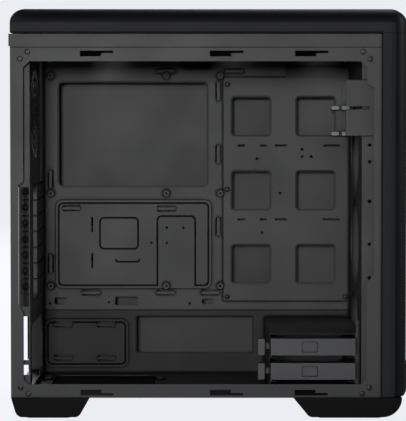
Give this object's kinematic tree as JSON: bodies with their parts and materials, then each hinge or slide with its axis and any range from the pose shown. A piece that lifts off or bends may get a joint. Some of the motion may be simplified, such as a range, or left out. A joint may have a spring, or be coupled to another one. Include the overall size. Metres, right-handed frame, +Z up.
{
  "type": "computer case",
  "caption": "Empty black steel mid-tower computer case with its left side open, a slotted board tray, a windowed cable plate and pull-out drive trays.",
  "frame": {"origin": "middle of the footprint, on the surface the feet stand on", "axes": "+X to the front bezel, +Y to the right side panel, +Z up"},
  "size_m": [0.508, 0.23, 0.507],
  "materials": {
    "coated_steel": "fine-textured satin black powder coat",
    "black_screws": "black zinc",
    "bright_steel": "bright plated",
    "black_plastic": "fine moulded grain",
    "caddy_plastic": "satin",
    "gloss_plastic": "polished",
    "mesh_steel": "perforated, powder coated",
    "filter_mesh": "fine nylon mesh",
    "rubber": "matt",
    "circuit_board": "solder mask",
    "light_guide": "clear"
  },
  "bodies": {
    "chassis": {"roof_panel": "coated_steel", "floor_panel": "coated_steel", "rear_panel": "coated_steel", "front_panel": "coated_steel", "motherboard_tray": "coated_steel", "cable_plate": "coated_steel", "lower_tray_panel": "coated_steel", "corner_rivets": "black_screws", "plate_screws": "black_screws", "slot_screws": "black_screws", "drive_cage": "coated_steel", "bay_bracket_near": "coated_steel", "bay_bracket_far": "coated_steel", "bay_clips": "bright_steel", "top_cover": "black_plastic", "io_panel": "gloss_plastic", "io_board": "circuit_board", "usb_ports": "bright_steel", "audio_jacks": "gloss_plastic", "power_light": "light_guide", "foot_rear_left": "black_plastic", "foot_rear_right": "black_plastic", "foot_front_left": "black_plastic", "foot_front_right": "black_plastic", "foot_pads": "rubber", "psu_pads": "rubber", "slot_cover_1": "coated_steel", "slot_cover_2": "coated_steel", "slot_cover_3": "coated_steel", "slot_cover_4": "coated_steel", "slot_cover_5": "coated_steel", "slot_cover_6": "coated_steel", "slot_cover_7": "coated_steel"},
    "right_panel": {"right_side_panel": "coated_steel", "side_thumbscrews": "black_screws"},
    "caddy_lower": {"drive_tray_lower": "caddy_plastic"},
    "caddy_upper": {"drive_tray_upper": "caddy_plastic"},
    "latch_lower": {"tray_latch_lower": "caddy_plastic"},
    "latch_upper": {"tray_latch_upper": "caddy_plastic"},
    "bezel": {"front_bezel": "black_plastic", "front_mesh": "mesh_steel"},
    "top_filter": {"top_filter_frame": "black_plastic", "top_filter_mesh": "filter_mesh"},
    "floor_filter": {"psu_filter_frame": "black_plastic", "psu_filter_mesh": "filter_mesh"},
    "power_key": {"power_button": "gloss_plastic"},
    "reset_key": {"reset_button": "gloss_plastic"}
  },
  "joints": [
    {"name": "right_panel_slide", "type": "slide", "parent": "chassis", "child": "right_panel", "axis": [-1, 0, 0], "range_m": [0, 0.02]},
    {"name": "caddy_lower_slide", "type": "slide", "parent": "chassis", "child": "caddy_lower", "axis": [0, -1, 0], "range_m": [0, 0.15]},
    {"name": "caddy_upper_slide", "type": "slide", "parent": "chassis", "child": "caddy_upper", "axis": [0, -1, 0], "range_m": [0, 0.15]},
    {"name": "latch_lower_squeeze", "type": "slide", "parent": "caddy_lower", "child": "latch_lower", "axis": [1, 0, 0], "range_m": [0, 0.004], "stiffness_N_per_m": 300, "springref_m": -0.002},
    {"name": "latch_upper_squeeze", "type": "slide", "parent": "caddy_upper", "child": "latch_upper", "axis": [1, 0, 0], "range_m": [0, 0.004], "stiffness_N_per_m": 300, "springref_m": -0.002},
    {"name": "bezel_pull", "type": "slide", "parent": "chassis", "child": "bezel", "axis": [1, 0, 0], "range_m": [0, 0.04]},
    {"name": "top_filter_lift", "type": "slide", "parent": "chassis", "child": "top_filter", "axis": [0, 0, 1], "range_m": [0, 0.03]},
    {"name": "floor_filter_slide", "type": "slide", "parent": "chassis", "child": "floor_filter", "axis": [-1, 0, 0], "range_m": [0, 0.16]},
    {"name": "power_button_press", "type": "slide", "parent": "chassis", "child": "power_key", "axis": [0, 0, -1], "range_m": [0, 0.002], "stiffness_N_per_m": 300, "springref_m": -0.002},
    {"name": "reset_button_press", "type": "slide", "parent": "chassis", "child": "reset_key", "axis": [0, 0, -1], "range_m": [0, 0.002], "stiffness_N_per_m": 300, "springref_m": -0.002}
  ]
}
